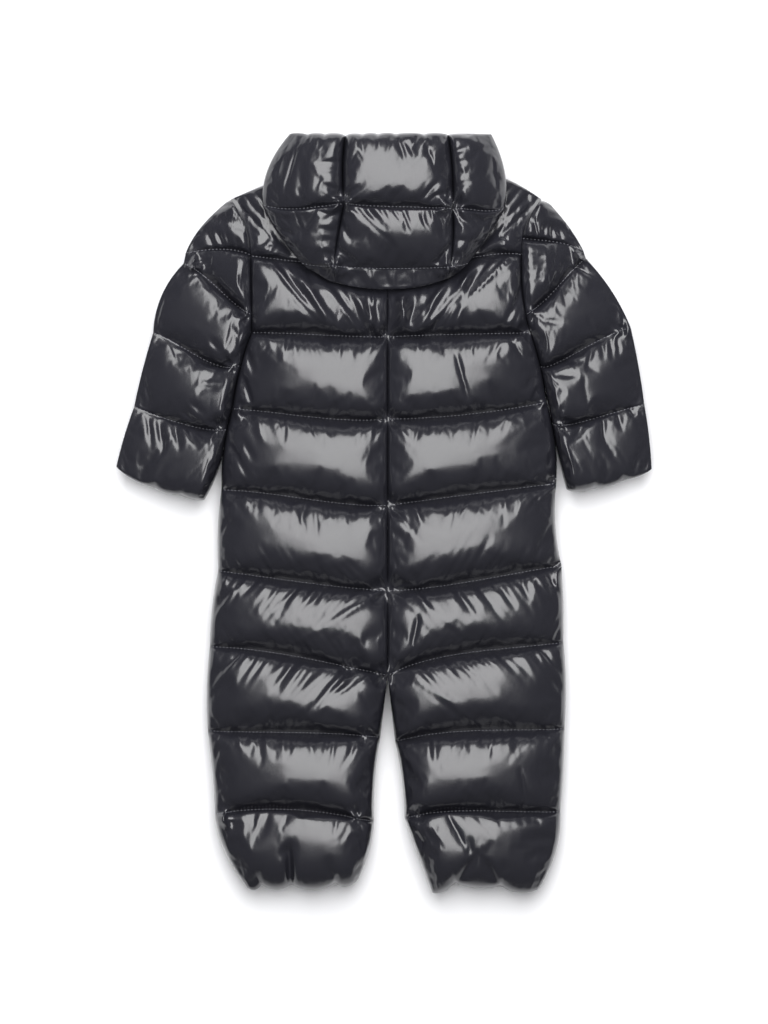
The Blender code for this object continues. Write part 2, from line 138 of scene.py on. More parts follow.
backRight = {
    "name": "backRightShell", "node": "back_right", "mirror": 1, "trim": 0.04,
    "lines": (
        line((0, 678), (50, 688), (97, 684), (146, 659), 5, seam, shoulder, 0, -6, 21),
        line((0, 599), (43, 598), (90, 605), (127, 606), 9, seam, armhole, 0, -3, 21, puckers=streaks),
        line((0, 528), (47, 530), (91, 531), (135, 532), 9, seam, armhole, 0, 2, 22, puckers=ticks),
        line((0, 450), (47, 452), (96, 457), (151, 466), 9, seam, free, 0, 4, 22, puckers=ticks),
        line((0, 368), (50, 375), (104, 382), (160, 389), 9, seam, free, 0, -3, 23, puckers=ticks),
        line((0, 287), (53, 292), (107, 301), (165, 311), 9, seam, free, 0, 1, 22, puckers=fanned),
        line((0, 207), (50, 224), (107, 232), (167, 238), 9, seam, free, 0, 2, 22,
             0.45, puckers=fanned),
        line((7, 144), (59, 153), (112, 155), (168, 156), 9, innerLeg, free, -2, 1, 23, puckers=ticks),
        line((16, 71), (59, 78), (110, 78), (164, 77), 9, innerLeg, free, 0, 6, 22, 0.42),
        line((42, 1), (72, 11), (107, 8), (145, 6), 5, innerLeg, free, 0, 0, 0,
             gathers=gathers(6, (0.25, 0.67))),
    ),
    "creases": (
        crease((144, 661), (98, 613), 2.8, 2.6), crease((135, 665), (90, 614), 3.0, 3.0),
        crease((126, 669), (83, 616), 2.8, 2.6), crease((117, 672), (77, 620), 3.2, 2.8),
        crease((130, 570), (104, 532), 2.8, 2.6), crease((128, 560), (115, 530), 2.6, 2.4),
        crease((129, 548), (124, 530), 2.4, 2.2), crease((118, 524), (128, 506), 3.0, 2.6),
        crease((64, 514), (76, 468), 2.8, 2.8), crease((133, 592), (121, 560), 2.6, 2.2),
        crease((64, 8), (84, 36), 3.8, 4.0), crease((104, 10), (90, 34), 3.8, 4.0),
        crease((124, 120), (131, 88), 2.8, 2.6), crease((30, 268), (24, 234), 2.8, 3.2),
    ),
    "knots": (
        knot(2, 528, 9), knot(2, 450, 10), knot(2, 368, 13), knot(2, 287, 20), knot(3, 207, 16),
        knot(136, 532, -11), knot(151, 466, -10), knot(160, 389, -10), knot(164, 311, -9), knot(28, 75, 9),
    ),
}

sleeveLeft = {
    "name": "sleeveLeftShell", "node": "sleeve_left_back", "mirror": -1, "trim": None,
    "lines": (
        line((148, 658), (150, 658), (152, 657), (154, 656), 5, sleeveHead, sleeveFree, 0, 5, 16),
        line((130, 606), (150, 611), (171, 611), (192, 608), 6, sleeveHead, sleeveFree, 0, 0, 22),
        line((129, 549), (150, 564), (172, 584), (194, 598), 5, sleeveHead, sleeveFree, 0, 7, 26),
        line((140, 501), (164, 502), (193, 517), (223, 532), 5, sleeveInner, sleeveFree, 2, 1, 27),
        line((153, 440), (175, 441), (206, 449), (241, 462), 6, sleeveInner, sleeveFree, 4, 1, 22),
        line((174, 374), (196, 378), (227, 388), (258, 405), 5, sleeveInner, sleeveFree, 0, 0, 0,
             gathers=gathers(2, (0.35, 0.62))),
    ),
    "creases": (
        crease((171, 628), (165, 614), 2.6, 2.4), crease((162, 628), (156, 615), 2.6, 2.6),
        crease((153, 627), (149, 614), 2.6, 2.4), crease((144, 622), (141, 612), 2.6, 2.0),
        crease((168, 524), (159, 516), 2.8, 2.4), crease((184, 508), (158, 497), 2.8, 2.4),
        crease((178, 490), (157, 486), 2.8, 2.2), crease((180, 480), (160, 478), 2.6, 2.0),
        crease((187, 465), (172, 456), 2.8, 2.2), crease((196, 456), (180, 448), 2.6, 2.0),
        crease((228, 452), (224, 428), 3.2, 3.2), crease((218, 450), (212, 422), 3.4, 3.6),
        crease((203, 447), (196, 422), 3.4, 3.6), crease((190, 443), (180, 424), 3.0, 3.2),
        crease((182, 441), (170, 428), 2.8, 2.8),
    ),
    "knots": (knot(133, 549, 10), knot(146, 501, 12), knot(160, 440, 13), knot(185, 596, -10)),
}

sleeveRight = {
    "name": "sleeveRightShell", "node": "sleeve_right_back", "mirror": 1, "trim": None,
    "lines": (
        line((147, 658), (150, 657), (152, 656), (155, 654), 5, sleeveHead, sleeveFree, 0, 3, 16),
        line((127, 622), (146, 620), (166, 617), (186, 610), 6, sleeveHead, sleeveFree, 0, 0, 22),
        line((133, 549), (152, 565), (170, 585), (188, 603), 5, sleeveHead, sleeveFree, 0, 4, 26),
        line((145, 500), (166, 506), (197, 523), (231, 537), 5, sleeveInner, sleeveFree, 0, 1, 27),
        line((157, 445), (178, 446), (211, 455), (244, 464), 6, sleeveInner, sleeveFree, 1, 1, 22),
        line((170, 384), (192, 384), (222, 392), (251, 403), 5, sleeveInner, sleeveFree, 0, 0, 0,
             gathers=gathers(2, (0.4, 0.7))),
    ),
    "creases": (
        crease((139, 638), (142, 624), 2.6, 2.4), crease((147, 637), (149, 623), 2.6, 2.6),
        crease((155, 635), (157, 621), 2.6, 2.4), crease((163, 633), (165, 620), 2.6, 2.2),
        crease((137, 604), (150, 603), 2.4, 2.0), crease((137, 597), (150, 596), 2.4, 2.0),
        crease((137, 590), (149, 589), 2.4, 2.0), crease((137, 583), (148, 582), 2.4, 2.0),
        crease((146, 543), (166, 541), 2.8, 2.6), crease((174, 598), (194, 586), 2.8, 2.8),
        crease((158, 506), (182, 505), 2.6, 3.0), crease((160, 492), (182, 492), 3.0, 3.2),
        crease((203, 526), (204, 508), 2.8, 2.2), crease((211, 526), (212, 508), 2.8, 2.2),
        crease((218, 528), (219, 510), 2.8, 2.2), crease((165, 449), (180, 447), 2.8, 2.4),
        crease((186, 444), (174, 428), 3.4, 3.2), crease((204, 455), (205, 430), 3.0, 3.2),
        crease((219, 458), (221, 442), 3.0, 3.0), crease((230, 462), (233, 453), 2.6, 2.4),
    ),
    "knots": (knot(137, 549, 10), knot(163, 445, 10), knot(225, 535, -10), knot(184, 603, -9)),
}

hoodCentre = {
    "name": "hoodCentreShell", "node": "hood_centre", "mirror": 1, "trim": None,
    "lines": (
        line((-40, 717), (-8, 718), (25, 718), (57, 718), 17, hoodSeam, hoodSeamWide, 2, 2, 18,
             gathers=gathers(1.6, (0.17, 0.32, 0.49, 0.76)), puckers=ticks),
        line((-41, 652), (-7, 650), (27, 649), (61, 647), 21, hoodSeam, hoodSeam, 1, 2, 10,
             0.12, puckers=slanted),
        line((-51, 594), (-14, 592), (23, 592), (59, 593), 9, hoodSeam, hoodSeam, 0, 0, 0.5),
        line((-49, 579), (-14, 573), (23, 574), (57, 583), 2, hoodSeam, hoodSeam, 0, 0, 0),
    ),
    "creases": (
        crease((-40, 660), (-24, 668), 2.6, 2.6), crease((-40, 652), (-20, 644), 2.8, 2.6),
        crease((-22, 651), (-12, 640), 2.6, 2.4), crease((30, 655), (47, 672), 3.0, 3.2),
        crease((36, 655), (57, 664), 2.8, 2.6), crease((-45, 636), (-36, 620), 3.0, 3.0),
        crease((-50, 612), (-28, 597), 2.8, 3.0), crease((-50, 604), (-30, 595), 2.6, 2.6),
        crease((59, 614), (46, 597), 2.8, 3.0), crease((10, 712), (16, 694), 2.8, 2.6),
        crease((16, 712), (24, 698), 2.8, 2.4), crease((36, 706), (44, 684), 2.8, 2.6),
    ),
    "knots": (knot(-39, 655, 12), knot(58, 651, -14), knot(-49, 594, 13), knot(56, 593, -12)),
}

hoodLeft = {
    "name": "hoodLeftShell", "node": "hood_left", "mirror": -1, "trim": None,
    "lines": (
        line((40, 717), (58, 718), (76, 718), (93, 719), 17, hoodSeam, fold, -2, 8, 18,
             gathers=gathers(1.6, (0.36, 0.66))),
        line((41, 652), (71, 649), (95, 648), (118, 652), 18, hoodSeam, fold, -1, 4, 11, 0.2),
        line((51, 594), (61, 594), (71, 595), (81, 597), 9, hoodSeam, fold, 0, 0, 0.5),
        line((49, 579), (58, 582), (66, 587), (74, 591), 2, hoodSeam, fold, 0, 0, 0),
    ),
    "creases": (
        crease((43, 691), (66, 690), 2.8, 2.8), crease((43, 684), (64, 683), 2.8, 2.4),
        crease((42, 664), (58, 668), 2.6, 2.6), crease((42, 646), (62, 636), 2.8, 2.6),
        crease((44, 640), (70, 646), 3.0, 2.4), crease((46, 626), (63, 628), 2.8, 2.6),
        crease((48, 616), (62, 620), 2.8, 2.6), crease((50, 604), (62, 608), 2.6, 2.4),
        crease((90, 714), (110, 662), 3.0, 2.6), crease((82, 714), (98, 660), 2.8, 2.0),
    ),
    "knots": (knot(43, 655, 13), knot(52, 594, 11)),
}

hoodRight = {
    "name": "hoodRightShell", "node": "hood_right", "mirror": 1, "trim": None,
    "lines": (
        line((57, 718), (70, 719), (84, 719), (98, 719), 17, hoodSeam, fold, -2, 6, 18),
        line((61, 647), (78, 647), (94, 646), (111, 649), 18, hoodSeam, fold, -2, 2, 11, 0.2),
        line((59, 593), (65, 594), (70, 595), (76, 597), 9, hoodSeam, fold, 0, 0, 0.5),
        line((57, 583), (61, 585), (66, 588), (70, 591), 2, hoodSeam, fold, 0, 0, 0),
    ),
    "creases": (
        crease((59, 698), (73, 704), 2.8, 2.8), crease((59, 688), (75, 692), 2.8, 2.8),
        crease((59, 684), (72, 680), 2.6, 2.4), crease((60, 664), (74, 672), 2.8, 2.8),
        crease((63, 646), (76, 632), 2.8, 2.8), crease((78, 644), (90, 634), 3.0, 2.4),
        crease((62, 618), (76, 617), 2.8, 2.4), crease((61, 603), (70, 604), 2.6, 2.2),
        crease((94, 712), (104, 660), 3.0, 2.4),
    ),
    "knots": (knot(63, 650, 13), knot(62, 593, 9)),
}

# How a panel is blown up: too much cloth by this share, the air's push, steps, the most that a point
# may move, and the most that an outer side may.
padding = {"growth": 0.02, "pressure": 5.0, "frames": 20, "cap": 6.0, "bulge": 1.5}

panelShape = {
    "crownPower": 4.0,
    "crownRoundness": 0.5,
    "fullness": 0.42,  # a crown is at most this share of the baffle's length
    "innerRollShare": 0.45,  # a side's roll takes at most this share of the width
    "outerRollShare": 0.9,
    "seamSpread": (0.65, 0.6),  # a seam's roll at its stitch lines, and how much wider between them
    "thinnest": 1.0,
    "stillEdge": 6.0,  # puckers grow from nothing over this distance from a side
    "lobePower": 0.6,  # how round the lobes of a gathered end are
    "lobeReach": 8,  # the higher, the nearer to the end the lobes stay
    "columnBias": 0.25,  # how much closer together points lie near a side
    "rowBias": 0.35,  # and near a stitch line
    "fewestRows": 5,
    "pinnedColumns": (0, 1, 2, -3, -2, -1),
    "pressedFlat": 0.02,  # cloth that is less free of the hood than this keeps still
    "underWall": 0.5,  # least thickness of an underside
    "wallAngle": 60,  # degrees, a panel's plain sides meet its cloth at more than this
    "unstitched": 2,  # stitches keep this many points away from a side
}
farAway = 0.5  # metres, well outside the suit
puckerShape = {
    "fanReach": 16.0,  # how far from a side the puckers fan out
    "fanLean": 1.1,
    "waver": 0.18,
    "upwardDepth": 0.25,  # puckers above a line, against those below it
    "reaches": (0.6, 1.5),  # least and most share of the reach that is named for the line
    "depths": (0.35, 1.3),
    "spacings": (0.5, 1.5),
    "halfWidths": (1.3, 2.6),
    "ridges": 0.35,  # share of them that stand up
    "widening": 0.03,
    "edge": 1.7,
}
creaseShape = {"ends": (0.1, 0.9), "edge": 1.6}
knotShape = {
    "lift": 7.0,  # its crumpled cloth stands up by this much
    "spread": 0.7,  # over this share of its reach
    "creases": 7,
    "halfTurn": 1.35,  # radians to each side over which they fan out
    "waver": 0.15,
    "lengths": (0.5, 1.2),
    "width": 2.3,
    "depths": (-2.6, 2.8),
}


def mixed(a, b, share):
    return a + (b - a) * share


def eased(share):
    share = np.clip(share, 0, 1)
    return share * share * (3 - 2 * share)


def spaced(count, bias):
    # Shares from 0 to 1, a little closer together near both ends.
    shares = np.linspace(0, 1, count)
    return mixed(shares, 0.5 - 0.5 * np.cos(np.pi * shares), bias)


def alongLine(row, share):
    # Points of a stitch line's smooth curve through its four named points.
    weights = (
        -4.5 * (share - 1 / 3) * (share - 2 / 3) * (share - 1),
        13.5 * share * (share - 2 / 3) * (share - 1),
        -13.5 * share * (share - 1 / 3) * (share - 1),
        4.5 * share * (share - 1 / 3) * (share - 2 / 3),
    )
    return sum(w[:, None] * np.array(p, float) for w, p in zip(weights, row[:4]))


def rounded(distance, radius, power=2.5):
    left = 1 - np.clip(distance / radius, 0, 1)
    return (1 - left**power) ** (1 / power)


def lobes(across, valleys):
    # 0 in the valleys and at both ends, 1 in the middle of each lobe.
    cuts = np.array((0.0, *valleys, 1.0))
    place = np.interp(across, cuts, np.arange(len(cuts)))
    return np.abs(np.sin(np.pi * place)) ** panelShape["lobePower"]


def star(item, chance):
    # The short creases of a knot. They run away from the seam.
    creases = []
    for turn in np.linspace(-knotShape["halfTurn"], knotShape["halfTurn"], knotShape["creases"]):
        angle = turn + chance.normal(0, knotShape["waver"])
        length = item.reach * chance.uniform(*knotShape["lengths"])
        tip = (item.x + length * math.cos(angle), item.y + length * math.sin(angle))
        depth = chance.choice(knotShape["depths"])
        creases.append(crease((item.x, item.y), tip, knotShape["width"], depth))
    return creases


def creased(points, creases):
    # Depth of the named creases at these points: sharp lines that fade at both ends.
    depth = np.zeros(points.shape[:2])
    for item in creases:
        start = np.array(item.start, float)
        run = np.array(item.end, float) - start
        share = np.clip((points - start) @ run / (run @ run), 0, 1)
        away = np.linalg.norm(points - start - share[..., None] * run, axis=2)
        along = np.sin(np.pi * mixed(*creaseShape["ends"], share))
        depth += item.depth * along * np.exp(-((away / item.width) ** creaseShape["edge"]))
    return depth


def puckered(across, down, width, kind, amount, chance):
    # Small random folds that run away from a stitch line. They fan out at both of its ends.
    shape = puckerShape
    height = np.zeros(np.broadcast(across, down).shape)
    place = chance.uniform(0, kind.spacing)
    while place < width:
        fromEnds = math.exp(-place / shape["fanReach"]) - math.exp(-(width - place) / shape["fanReach"])
        lean = kind.lean + shape["fanLean"] * fromEnds + chance.normal(0, shape["waver"])
        reach = kind.reach * chance.uniform(*shape["reaches"])
        halfWidth = chance.uniform(*shape["halfWidths"])
        depth = kind.depth * amount * chance.uniform(*shape["depths"])
        depth *= 1 if chance.random() < shape["ridges"] else -1
        away = (across - place - lean * down) / (halfWidth * (1 + shape["widening"] * down))
        height += depth * (down / reach) * np.exp(1 - down / reach) * np.exp(-np.abs(away) ** shape["edge"])
        place += kind.spacing * chance.uniform(*shape["spacings"])
    return height


def besideHood(x, y):
    # 0 under the folded hood, 1 where the back is free of it.
    below = np.maximum(0, suit["hoodCentre"][1] - y) / suit["hoodReachDown"]
    radius = np.hypot((x - suit["hoodCentre"][0]) / suit["hoodHalfWidth"], below)
    outside = (radius - 1) * suit["hoodReachDown"]
    low, high = suit["pressedBlend"]
    return eased((outside - low) / (high - low))


def baffle(upper, lower, across, steps, chance):
    # Flat places and padding heights between two stitch lines, one row for each step.
    above, below = alongLine(upper, across), alongLine(lower, across)
    length = np.linalg.norm(above - below, axis=1)
    step = steps[:, None]
    places = mixed(above[None], below[None], step[..., None])
    run = places[:, -1] - places[:, 0]
    width = np.linalg.norm(run, axis=1)[:, None]
    swell = 4 * step * (1 - step) * (upper.swellOut * across**3 - upper.swellIn * (1 - across) ** 3)
    places += swell[..., None] * (run / width)[:, None, :]
    for row, near, way in ((upper, 1 - step, 1), (lower, step, -1)):
        if row.gathers.depth:
            drawn = near ** panelShape["lobeReach"] * lobes(across, row.gathers.valleys)
            places[..., 1] += way * row.gathers.depth * drawn

    warped = step ** (math.log(0.5) / math.log(upper.peak))
    shape = (1 - abs(2 * warped - 1) ** panelShape["crownPower"]) ** panelShape["crownRoundness"]
    crown = np.minimum(upper.crown, panelShape["fullness"] * length) * shape
    height = mixed(upper.height, lower.height, step) + crown
    for first, second, distance, share in (
        (upper.outerSide, lower.outerSide, (1 - across) * width, panelShape["outerRollShare"]),
        (upper.innerSide, lower.innerSide, across * width, panelShape["innerRollShare"]),
    ):
        edge = mixed(first.height, second.height, step) + mixed(first.lift, second.lift, step) * crown
        roll = mixed(first.roll, second.roll, step)
        if first.lift:
            narrow, wider = panelShape["seamSpread"]
            roll = roll * (narrow + wider * np.sin(np.pi * step))
        roll = np.minimum(roll, share * width)
        height = mixed(np.minimum(edge, height), height, rounded(distance, roll, first.power))
    s = across * width
    inside = rounded(s, panelShape["stillEdge"]) * rounded(width - s, panelShape["stillEdge"])
    for row, down, amount in ((upper, step, 1.0), (lower, 1 - step, puckerShape["upwardDepth"])):
        height += inside * puckered(s, down * length, width.mean(), row.puckers, amount, chance)
    return places, height


def panelNet(spec, spacing, under=False, beside=None):
    # The panel's points row by row: flat places, padding heights, and which rows are stitched.
    lines = spec["lines"]
    chance = np.random.default_rng(sum(ord(letter) for letter in spec["name"]) + under)
    widest = max(np.linalg.norm(np.subtract(row.outer, row.inner)) for row in lines)
    across = spaced(int(widest / spacing[0]) + 1, panelShape["columnBias"])
    places, heights, lineRows = [], [], []
    for index, (upper, lower) in enumerate(zip(lines, lines[1:])):
        length = np.linalg.norm(np.subtract(upper.near, lower.near))
        steps = spaced(max(panelShape["fewestRows"], int(length / spacing[1]) + 1), panelShape["rowBias"])
        blockPlaces, blockHeights = baffle(upper, lower, across, steps, chance)
        if beside is not None:
            reach = np.interp(-blockPlaces[:, 0, 1], -beside[:, 1], beside[:, 0])
            reach += suit["sleeveGap"] - blockPlaces[:, 0, 0]
            if upper.innerSide is sleeveInner:
                reach = np.maximum(reach, 0)
            blockPlaces[..., 0] += reach[:, None] * (1 - across) ** 2
        last = index == len(lines) - 2
        lineRows.append(sum(len(block) for block in places))
        places.append(blockPlaces if last else blockPlaces[:-1])
        heights.append(blockHeights if last else blockHeights[:-1])
    places, heights = np.concatenate(places), np.concatenate(heights)
    lineRows.append(len(places) - 1)
    trim = suit["zipHalf"] if under and spec["trim"] else spec["trim"]
    if trim:
        places[:, 0, 0] = np.maximum(places[:, 0, 0], trim)
    if not under:
        stars = [item for place in spec["knots"] for item in star(place, chance)]
        for item in spec["knots"]:
            away = np.linalg.norm(places - np.array((item.x, item.y)), axis=2)
            level = heights.flat[away.argmin()] + knotShape["lift"]
            near = np.exp(-((away / (knotShape["spread"] * abs(item.reach))) ** 2))
            heights = mixed(heights, level, near)
        heights -= creased(places, (*spec["creases"], *stars))
    return places, np.maximum(heights, panelShape["thinnest"]), lineRows


def gridFaces(rows, columns, flip):
    corner = np.arange(rows * columns).reshape(rows, columns)
    corners = (corner[:-1, :-1], corner[:-1, 1:], corner[1:, 1:], corner[1:, :-1])
    faces = np.stack(corners, axis=-1).reshape(-1, 4)
    return faces[:, ::-1] if flip else faces


def meshObject(name, points, faces=(), edges=()):
    mesh = bpy.data.meshes.new(name)
    mesh.from_pydata([tuple(p) for p in points], list(edges), [tuple(f) for f in faces])
    item = bpy.data.objects.new(name, mesh)
    bpy.context.scene.collection.objects.link(item)
    return item


def settled(item, pinned, pressure=padding["pressure"]):
    # Blows the cloth up between its stitched rows. Slightly too much cloth gathers into puckers.
    group = item.vertex_groups.new(name="stitched")
    group.add(np.flatnonzero(pinned).tolist(), 1.0, "REPLACE")
    cloth = item.modifiers.new("cloth", "CLOTH")
    settings = {
        "quality": 4, "mass": 0.12, "air_damping": 4, "bending_damping": 0.5,
        "tension_stiffness": 18, "compression_stiffness": 18,
        "shear_stiffness": 8, "bending_stiffness": 0.1,
        "use_pressure": True, "uniform_pressure_force": pressure, "shrink_min": -padding["growth"],
        "vertex_group_mass": "stitched" if pinned.any() else "",
    }
    for key, value in settings.items():
        setattr(cloth.settings, key, value)
    cloth.settings.effector_weights.gravity = 0
    cloth.collision_settings.use_collision = False
    cloth.point_cache.frame_start = 1
    cloth.point_cache.frame_end = padding["frames"]
    scene = bpy.context.scene
    for step in range(1, padding["frames"] + 1):
        scene.frame_set(step)
    graph = bpy.context.evaluated_depsgraph_get()
    mesh = item.evaluated_get(graph).to_mesh()
    points = np.empty(len(mesh.vertices) * 3, np.float32)
    mesh.vertices.foreach_get("co", points)
    item.evaluated_get(graph).to_mesh_clear()
    item.modifiers.remove(cloth)
    scene.frame_set(1)
    return points.reshape(-1, 3).astype(float)


def capped(moved, most):
    # Shortens every movement that is longer than this many millimetres.
    far = np.linalg.norm(moved, axis=-1, keepdims=True)
    return moved * np.minimum(1, most * mm / np.maximum(far, 1e-9))


def closePanel(item, inside):
    # One subdivision, then plain sides down to a plain flat inside.
    smoothing = item.modifiers.new("smooth", "SUBSURF")
    smoothing.levels = smoothing.render_levels = 1
    smoothing.boundary_smooth = "PRESERVE_CORNERS"
    mesh = bpy.data.meshes.new_from_object(item.evaluated_get(bpy.context.evaluated_depsgraph_get()))
    item.modifiers.remove(smoothing)
    bm = bmesh.new()
    bm.from_mesh(mesh)
    rim = [edge for edge in bm.edges if edge.is_boundary]
    skirt = bmesh.ops.extrude_edge_only(bm, edges=rim)["geom"]
    for vert in (part for part in skirt if isinstance(part, bmesh.types.BMVert)):
        vert.co.z = inside
    bmesh.ops.contextual_create(bm, geom=[edge for edge in bm.edges if edge.is_boundary])
    bmesh.ops.recalc_face_normals(bm, faces=bm.faces)
    bm.to_mesh(item.data)
    bm.free()
    item.vertex_groups.clear()
    item.data.shade_smooth()
    item.data.set_sharp_from_angle(angle=math.radians(panelShape["wallAngle"]))


def stitchPath(item, points, facing):
    # The stitched row's points, laid on the finished cloth.
    tree = BVHTree.FromObject(item, bpy.context.evaluated_depsgraph_get())
    path = []
    for x, y, z in points:
        hit = tree.ray_cast(Vector((x, y, facing * farAway)), Vector((0, 0, -facing)))[0]
        path.append((x, y, hit.z if hit else z))
    return path


def paddedPanel(spec, finish, spacing, inside, facing=1, beside=None, underHood=False):
    # Makes a panel's closed padded wall. Returns it with the paths of its stitch lines.
    under = facing < 0
    places, heights, lineRows = panelNet(spec, spacing, under, beside)
    rows, columns = heights.shape
    x, y = spec["mirror"] * places[..., 0], places[..., 1]
    if underHood:
        heights = mixed(np.minimum(heights, suit["pressed"]), heights, besideHood(x, y))
    pinned = np.zeros((rows, columns), bool)
    pinned[lineRows] = True
    pinned[:, panelShape["pinnedColumns"]] = True
    if underHood:
        pinned |= besideHood(x, y) < panelShape["pressedFlat"]
    z = inside + facing * heights
    if under:
        z = np.maximum(z, 0.0)
    start = np.stack([seamX + x * mm, hemY + y * mm, z * mm], axis=-1)
    name = spec["name"].replace("back", "front").replace("Shell", "UnderShell") if under else spec["name"]
    item = meshObject(name, start.reshape(-1, 3), gridFaces(rows, columns, (spec["mirror"] > 0) != under))
    points = start.copy()
    moved = settled(item, pinned.reshape(-1)).reshape(rows, columns, 3) - start
    points += capped(moved, padding["cap"])
    lowX = np.minimum(start[:, :1, 0], start[:, -1:, 0])
    highX = np.maximum(start[:, :1, 0], start[:, -1:, 0])
    bulge = (padding["bulge"] if spec["lines"][-1].outerSide.lift == 0 else 0) * mm
    outward = (bulge, 0) if spec["mirror"] < 0 else (0, bulge)
    points[..., 0] = np.clip(points[..., 0], lowX - outward[0], highX + outward[1])
    if under:
        points[..., 2] = np.clip(points[..., 2], 0.0, (inside - panelShape["underWall"]) * mm)
    item.data.vertices.foreach_set("co", points.reshape(-1).astype(np.float32))
    item.data.update()
    closePanel(item, inside * mm)
    item.data.materials.append(finish)
    ends = panelShape["unstitched"]
    paths = [stitchPath(item, points[row, ends:-ends], facing) for row in lineRows[1:-1]]
    print(name, rows, "x", columns, "points")
    return item, paths


# Finishes.

def hexColor(code):
    # An sRGB hex colour as linear red, green, blue and alpha.
    parts = [int(code[i : i + 2], 16) / 255 for i in (1, 3, 5)]
    return (*(p / 12.92 if p <= 0.04045 else ((p + 0.055) / 1.055) ** 2.4 for p in parts), 1.0)


def addNode(tree, kind, settings=None, inputs=None, links=None):
    # Adds one node: settings are its attributes, inputs its values, links its sockets' sources.
    node = tree.nodes.new(kind)
    for key, value in (settings or {}).items():
        setattr(node, key, value)
    for key, value in (inputs or {}).items():
        node.inputs[key].default_value = value
    for key, source in (links or {}).items():
        tree.links.new(source, node.inputs[key])
    return node


def newMaterial(name):
    material = bpy.data.materials.new(name)
    material.use_nodes = True
    material.node_tree.nodes.clear()
    return material, material.node_tree


def lacqueredNylon():
    # Down-proof nylon taffeta with a clear lacquer: a wet, sharp-edged gloss over near black.
    finish = {
        "color": "#222228", "roughness": 0.27, "coat": 0.22, "coatRoughness": 0.11,
        "ior": 1.53,
        "weave": 0.9,  # threads are 0.15 mm apart, drawn at 0.9 mm so that they show
        "weaveRelief": (0.04, 0.0002),  # strength, and height in metres
        "crumple": 14.0,  # the lacquer's slight unevenness
        "crumpleRelief": (0.2, 0.001),
    }
    material, tree = newMaterial("lacqueredNylonTaffeta")
    place = addNode(tree, "ShaderNodeTexCoord")
    weave = addNode(
        tree, "ShaderNodeTexNoise", {}, {"Scale": 1000 / finish["weave"], "Detail": 1.0},
        {"Vector": place.outputs["Object"]},
    )
    crumple = addNode(
        tree, "ShaderNodeTexNoise", {},
        {"Scale": 1000 / finish["crumple"], "Detail": 3.0, "Roughness": 0.45},
        {"Vector": place.outputs["Object"]},
    )
    fine = addNode(
        tree, "ShaderNodeBump", {}, dict(zip(("Strength", "Distance"), finish["weaveRelief"])),
        {"Height": weave.outputs["Fac"]},
    )
    wrinkled = addNode(
        tree, "ShaderNodeBump", {}, dict(zip(("Strength", "Distance"), finish["crumpleRelief"])),
        {"Height": crumple.outputs["Fac"], "Normal": fine.outputs["Normal"]},
    )
    shader = addNode(
        tree, "ShaderNodeBsdfPrincipled", {},
        {
            "Base Color": hexColor(finish["color"]), "Roughness": finish["roughness"], "IOR": finish["ior"],
            "Coat Weight": finish["coat"], "Coat Roughness": finish["coatRoughness"],
        },
        {"Normal": wrinkled.outputs["Normal"]},
    )
    addNode(tree, "ShaderNodeOutputMaterial", {}, {}, {"Surface": shader.outputs["BSDF"]})
    return material


def plainMaterial(name, code, roughness, grain=None, **inputs):
    # A plain finish. Grain is the size in millimetres and the strength of its fine relief.
    material, tree = newMaterial(name)
    values = {"Base Color": hexColor(code), "Roughness": roughness}
    values.update({key.replace("_", " "): value for key, value in inputs.items()})
    shader = addNode(tree, "ShaderNodeBsdfPrincipled", {}, values)
    if grain:
        place = addNode(tree, "ShaderNodeTexCoord")
        relief = addNode(
            tree, "ShaderNodeTexNoise", {}, {"Scale": 1000 / grain[0], "Detail": 2.0},
            {"Vector": place.outputs["Object"]},
        )
        bump = addNode(
            tree, "ShaderNodeBump", {}, {"Strength": grain[1], "Distance": 0.0002},
            {"Height": relief.outputs["Fac"]},
        )
        tree.links.new(bump.outputs["Normal"], shader.inputs["Normal"])
    addNode(tree, "ShaderNodeOutputMaterial", {}, {}, {"Surface": shader.outputs["BSDF"]})
    return material


def wovenTape():
    # Polyester zip tape: a dull herringbone weave, its ribs 0.6 mm apart as on real tape.
    tape = {"color": "#2a2a2e", "roughness": 0.85, "sheen": 0.25, "rib": 0.6, "relief": 0.5}
    ribsPerUnit = 20  # a wave texture draws this many ribs a metre at a scale of 1
    material, tree = newMaterial("wovenPolyesterTape")
    place = addNode(tree, "ShaderNodeTexCoord")
    ribs = [
        addNode(
            tree, "ShaderNodeTexWave", {"bands_direction": direction},
            {"Scale": 1000 / tape["rib"] / ribsPerUnit, "Distortion": 0.6, "Detail": 1.0},
            {"Vector": place.outputs["Object"]},
        )
        for direction in ("DIAGONAL", "Y")
    ]
    crossed = addNode(
        tree, "ShaderNodeMath", {"operation": "MULTIPLY"}, {},
        {0: ribs[0].outputs["Fac"], 1: ribs[1].outputs["Fac"]},
    )
    bump = addNode(
        tree, "ShaderNodeBump", {}, {"Strength": tape["relief"], "Distance": 0.0003},
        {"Height": crossed.outputs["Value"]},
    )
    shader = addNode(
        tree, "ShaderNodeBsdfPrincipled", {},
        {
            "Base Color": hexColor(tape["color"]), "Roughness": tape["roughness"],
            "Sheen Weight": tape["sheen"],
        },
        {"Normal": bump.outputs["Normal"]},
    )
    addNode(tree, "ShaderNodeOutputMaterial", {}, {}, {"Surface": shader.outputs["BSDF"]})
    return material


nylon = lacqueredNylon()
# Twisted polyester sewing thread with a soft shine. The real thread is near black; this light grey colour
# is a painted highlight, the glint of its gloss.
glintPaintedThread = plainMaterial("polyesterThreadPaintedGlint", "#6e6e75", 0.45, (0.35, 0.6), Sheen_Weight=0.3)
zipTape = wovenTape()
# Black enamel baked on die-cast zinc, a little uneven.
enamel = plainMaterial("blackEnamel", "#27272a", 0.28, (2.5, 0.08), Coat_Weight=0.6, Coat_Roughness=0.12)

# The suit's pieces.

